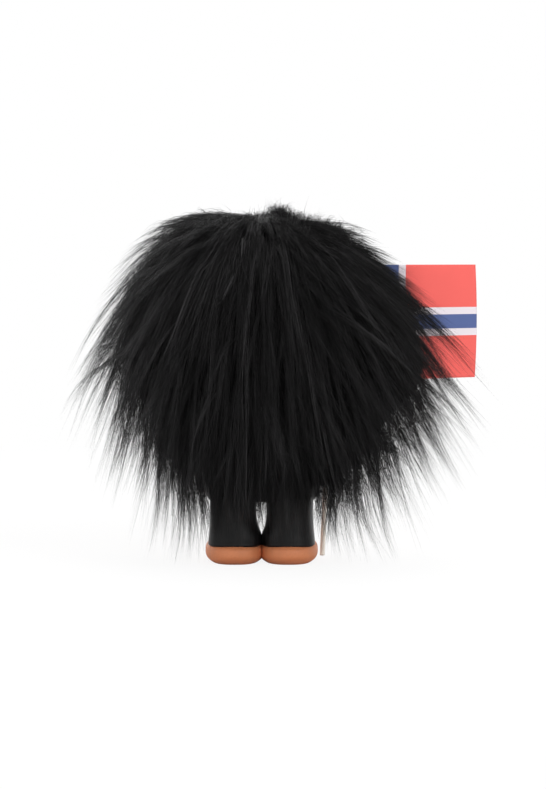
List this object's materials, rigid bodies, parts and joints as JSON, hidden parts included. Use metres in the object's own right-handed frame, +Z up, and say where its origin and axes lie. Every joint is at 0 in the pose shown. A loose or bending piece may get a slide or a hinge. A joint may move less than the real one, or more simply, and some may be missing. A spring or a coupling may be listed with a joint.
{
  "type": "norwegian troll figure",
  "caption": "Standing troll with a long black fur mane and bare feet that holds a Norwegian flag on a stick.",
  "frame": {"origin": "on the floor between the two soles, where the heels meet", "axes": "+Z up, -Y the way the troll faces, so its right hand with the flag is on the -X side"},
  "size_m": [0.1646, 0.0997, 0.1474],
  "materials": {
    "skin": "matte",
    "trouser": "satin",
    "eye": "gloss",
    "dowel": "matte",
    "pelt_cloth": "matte",
    "pile": "matte",
    "stick_wood": "satin",
    "flag_cloth": "matte"
  },
  "bodies": {
    "figure": {"left_foot": "skin", "right_foot": "skin", "left_leg": "trouser", "right_leg": "trouser", "trousers": "trouser", "torso": "skin", "head": "skin", "left_ear": "skin", "right_ear": "skin", "left_eye": "eye", "right_eye": "eye", "left_arm": "skin", "right_arm": "skin", "left_hand": "skin", "right_hand": "skin", "ankle_pins": "dowel", "hip_pins": "dowel", "waist_pin": "dowel", "neck_pin": "dowel", "shoulder_pins": "dowel", "wrist_pins": "dowel", "pelt": "pelt_cloth", "mane_left": "pile", "mane_back": "pile", "mane_right": "pile", "under_pile": "pile", "crown_pile": "pile", "fringe_pile": "pile"},
    "stick": {"flag_stick": "stick_wood"},
    "banner": {"flag": "flag_cloth"}
  },
  "joints": [
    {"name": "stick_lift", "type": "slide", "parent": "figure", "child": "stick", "axis": [-0.0436, 0, 0.999], "range_m": [0, 0.06]},
    {"name": "flag_turn", "type": "hinge", "parent": "stick", "child": "banner", "pos_m": [-0.02976, -0.024, 0.0999], "axis": [-0.0436, 0, 0.999], "range_deg": [0, 100]}
  ]
}
